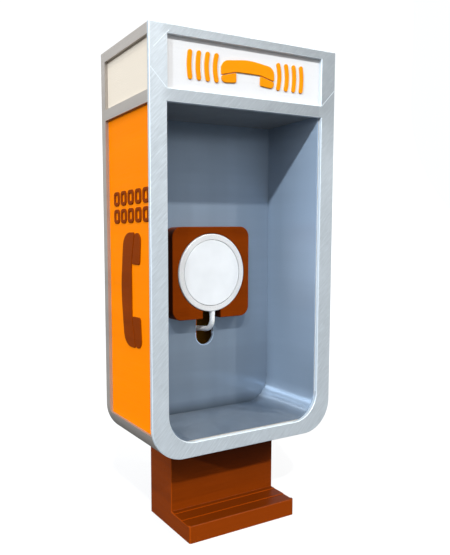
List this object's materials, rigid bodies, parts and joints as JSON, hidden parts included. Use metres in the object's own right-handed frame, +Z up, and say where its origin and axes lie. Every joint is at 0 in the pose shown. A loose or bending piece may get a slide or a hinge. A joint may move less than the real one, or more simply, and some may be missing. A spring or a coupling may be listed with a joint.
{
  "type": "phone charging stand",
  "caption": "Desk-top charging stand shaped like a public telephone booth, with a lit-sign header, a round magnetic charger in a holder, its cable and a foot.",
  "frame": {"origin": "on the desk, under the middle of the cabinet (bottom centre of the stand without its free cable)", "axes": "+X to the right seen from the front, +Y to the rear, +Z up; the booth's open front faces -Y"},
  "size_m": [0.1647, 0.1336, 0.325],
  "materials": {
    "silver_print": "silk silver 3-D print, fine layer lines",
    "white_print": "white 3-D print",
    "cream_print": "off-white 3-D print",
    "orange_print": "orange 3-D print, satin",
    "brown_print": "brown 3-D print, satin",
    "screw_steel": "zinc-plated",
    "insert_brass": "knurled brass",
    "charger_metal": "anodised silver",
    "charger_white": "soft white, satin",
    "magnet": "nickel-plated",
    "copper": "enamelled copper wire, bonded",
    "ferrite": "matt ferrite sheet",
    "circuit_board": "solder mask",
    "chip_black": "moulded black",
    "cable_white": "smooth white jacket",
    "plug_steel": "bright steel"
  },
  "bodies": {
    "booth": {"front_frame": "silver_print", "base_tray": "silver_print", "roof": "silver_print", "ceiling_panel": "silver_print", "back_wall": "silver_print", "rear_cover": "orange_print", "cover_screws": "screw_steel", "left_wall": "silver_print", "right_wall": "silver_print", "sign_panel": "white_print", "sign_motif": "orange_print", "left_sign_side_panel": "cream_print", "right_sign_side_panel": "cream_print", "left_side_panel": "orange_print", "right_side_panel": "orange_print", "left_handset_symbol": "brown_print", "right_handset_symbol": "brown_print", "left_keypad_symbol": "brown_print", "right_keypad_symbol": "brown_print", "charger_holder": "brown_print", "foot": "brown_print", "holder_screws": "screw_steel", "foot_bolts": "screw_steel", "threaded_inserts": "insert_brass"},
    "charger": {"charger_shell": "charger_metal", "charger_face": "charger_white", "magnet_ring": "magnet", "charging_coil": "copper", "ferrite_shield": "ferrite", "charger_board": "circuit_board", "board_components": "chip_black", "strain_relief": "cable_white", "cable_run": "cable_white", "cable_coil": "cable_white", "cable_tail": "cable_white", "plug_body": "charger_white", "plug_shell": "plug_steel", "plug_tongue": "chip_black"}
  },
  "joints": [
    {"name": "charger_pull", "type": "slide", "parent": "booth", "child": "charger", "axis": [0, -1, 0], "range_m": [0, 0.012]}
  ]
}
